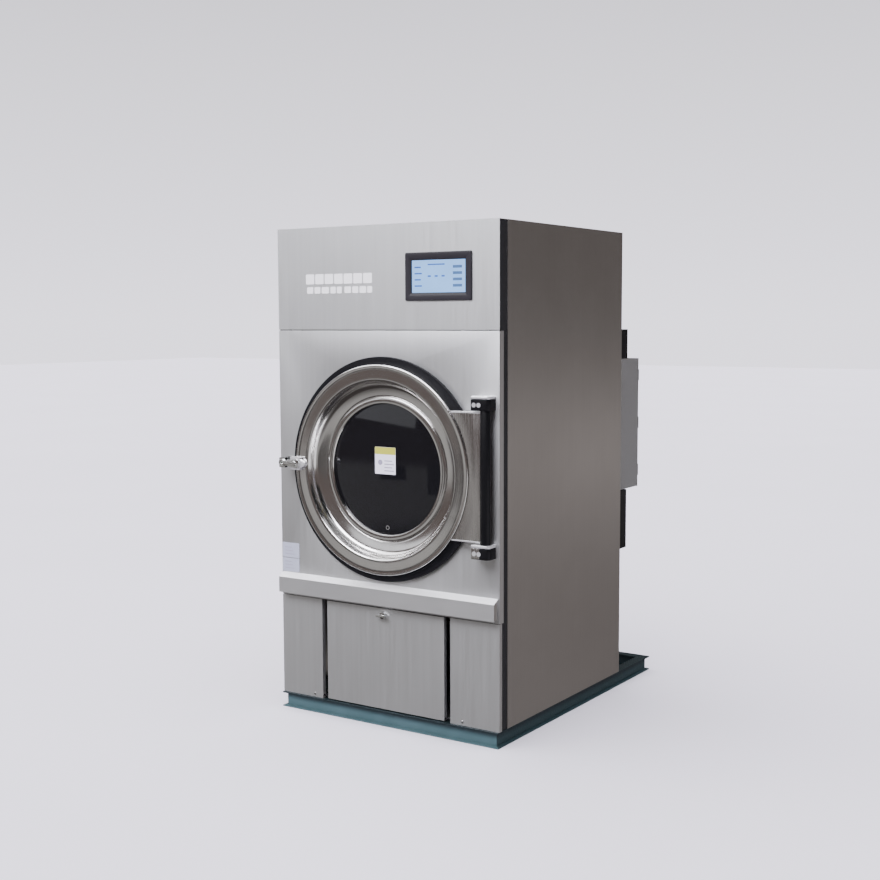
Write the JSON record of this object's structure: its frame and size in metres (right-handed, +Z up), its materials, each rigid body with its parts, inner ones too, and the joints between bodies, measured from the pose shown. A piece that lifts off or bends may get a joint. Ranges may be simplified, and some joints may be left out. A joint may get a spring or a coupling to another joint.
{
  "type": "tumble dryer",
  "caption": "Free-standing commercial tumble dryer: steel cabinet on a rail base, round glazed door, lint door, touchscreen, driven drum and exhaust fan.",
  "frame": {"origin": "on the floor, under the centre of the whole machine's box", "axes": "+Z up, the door faces -Y, +X to the right seen from the front"},
  "size_m": [0.85, 1.15, 1.6],
  "materials": {
    "base_paint": "satin teal-green paint",
    "brushed_steel": "brushed",
    "galvanised": "plain galvanised sheet",
    "black_paint": "semi-gloss black",
    "bezel_plastic": "satin dark grey",
    "screen": "lit pale blue screen",
    "cast_iron": "machined and oiled",
    "black_rubber": "matt black",
    "motor_paint": "satin blue-grey",
    "grey_paint": "satin grey",
    "screen_mesh": "fine woven wire",
    "polished_steel": "mirror-polished stainless",
    "dark_glass": "dark tinted, glossy",
    "chrome": "polished chrome"
  },
  "bodies": {
    "cabinet": {"base_rail_left": "base_paint", "base_rail_right": "base_paint", "base_rail_front": "base_paint", "base_rail_rear": "base_paint", "base_cross_rail": "base_paint", "left_side_panel": "brushed_steel", "right_side_panel": "brushed_steel", "top_panel": "brushed_steel", "control_panel": "brushed_steel", "front_panel": "brushed_steel", "ledge": "brushed_steel", "lower_panel_left": "brushed_steel", "lower_panel_right": "brushed_steel", "rear_panel": "galvanised", "front_bulkhead": "galvanised", "rear_bulkhead": "galvanised", "fan_housing": "galvanised", "heater_box": "galvanised", "lint_chute": "galvanised", "corner_post_left": "black_paint", "corner_post_right": "black_paint", "belt_guard": "black_paint", "hinge_block_top": "black_paint", "hinge_block_bottom": "black_paint", "upper_cable_duct": "black_paint", "lower_cable_duct": "black_paint", "touchscreen_housing": "bezel_plastic", "touchscreen_glass": "screen", "front_flange_bearing": "cast_iron", "rear_flange_bearing": "cast_iron", "heating_element": "cast_iron", "drive_belt": "black_rubber", "gear_motor": "motor_paint", "fan_motor": "motor_paint", "electrical_box": "grey_paint", "electrical_box_cover": "grey_paint", "lint_screen": "screen_mesh", "hinge_pin": "polished_steel", "latch_strike": "chrome"},
    "door": {"door_ring": "polished_steel", "door_glass": "dark_glass", "glass_gasket": "black_rubber", "glass_clamp_ring": "polished_steel", "door_seal": "black_rubber", "hinge_plate": "polished_steel", "hinge_tube": "black_paint", "latch_body": "chrome"},
    "latch_lever": {"latch_lever": "chrome"},
    "latch_tongue": {"latch_tongue": "chrome"},
    "lint_door": {"lint_door": "brushed_steel"},
    "lint_lock": {"lint_lock": "chrome"},
    "drum": {"drum_shell": "brushed_steel", "drum_back": "brushed_steel", "drum_lifter_1": "brushed_steel", "drum_lifter_2": "brushed_steel", "drum_lifter_3": "brushed_steel", "drum_shaft": "cast_iron", "drum_pulley": "cast_iron"},
    "motor_pulley": {"motor_pulley": "cast_iron"},
    "fan_wheel": {"fan_wheel": "galvanised"}
  },
  "joints": [
    {"name": "door_hinge", "type": "hinge", "parent": "cabinet", "child": "door", "pos_m": [0.391, -0.539, 0.831], "axis": [0, 0, 1], "range_deg": [0, 165]},
    {"name": "latch_lever_turn", "type": "hinge", "parent": "door", "child": "latch_lever", "pos_m": [-0.322, -0.57, 0.837], "axis": [0, 1, 0], "range_deg": [0, 45]},
    {"name": "latch_tongue_slide", "type": "slide", "parent": "door", "child": "latch_tongue", "axis": [1, 0, 0], "range_m": [0, 0.0102]},
    {"name": "lint_door_hinge", "type": "hinge", "parent": "cabinet", "child": "lint_door", "pos_m": [0, -0.509, 0.061], "axis": [1, 0, 0], "range_deg": [0, 85]},
    {"name": "lint_lock_turn", "type": "hinge", "parent": "lint_door", "child": "lint_lock", "pos_m": [-0.009, -0.515, 0.361], "axis": [0, 1, 0], "range_deg": [0, 90]},
    {"name": "drum_spin", "type": "hinge", "parent": "cabinet", "child": "drum", "pos_m": [0, 0.097, 0.831], "axis": [0, 1, 0], "continuous": true},
    {"name": "motor_pulley_spin", "type": "hinge", "parent": "cabinet", "child": "motor_pulley", "pos_m": [0, 0.346, 0.26], "axis": [0, 1, 0], "continuous": true},
    {"name": "fan_spin", "type": "hinge", "parent": "cabinet", "child": "fan_wheel", "pos_m": [0.16, 0.235, 0.24], "axis": [0, 1, 0], "continuous": true}
  ],
  "couplings": [
    {"joint": "latch_tongue_slide", "follows": "latch_lever_turn", "m_per_rad": 0.0127},
    {"joint": "motor_pulley_spin", "follows": "drum_spin", "ratio": 5.43}
  ]
}
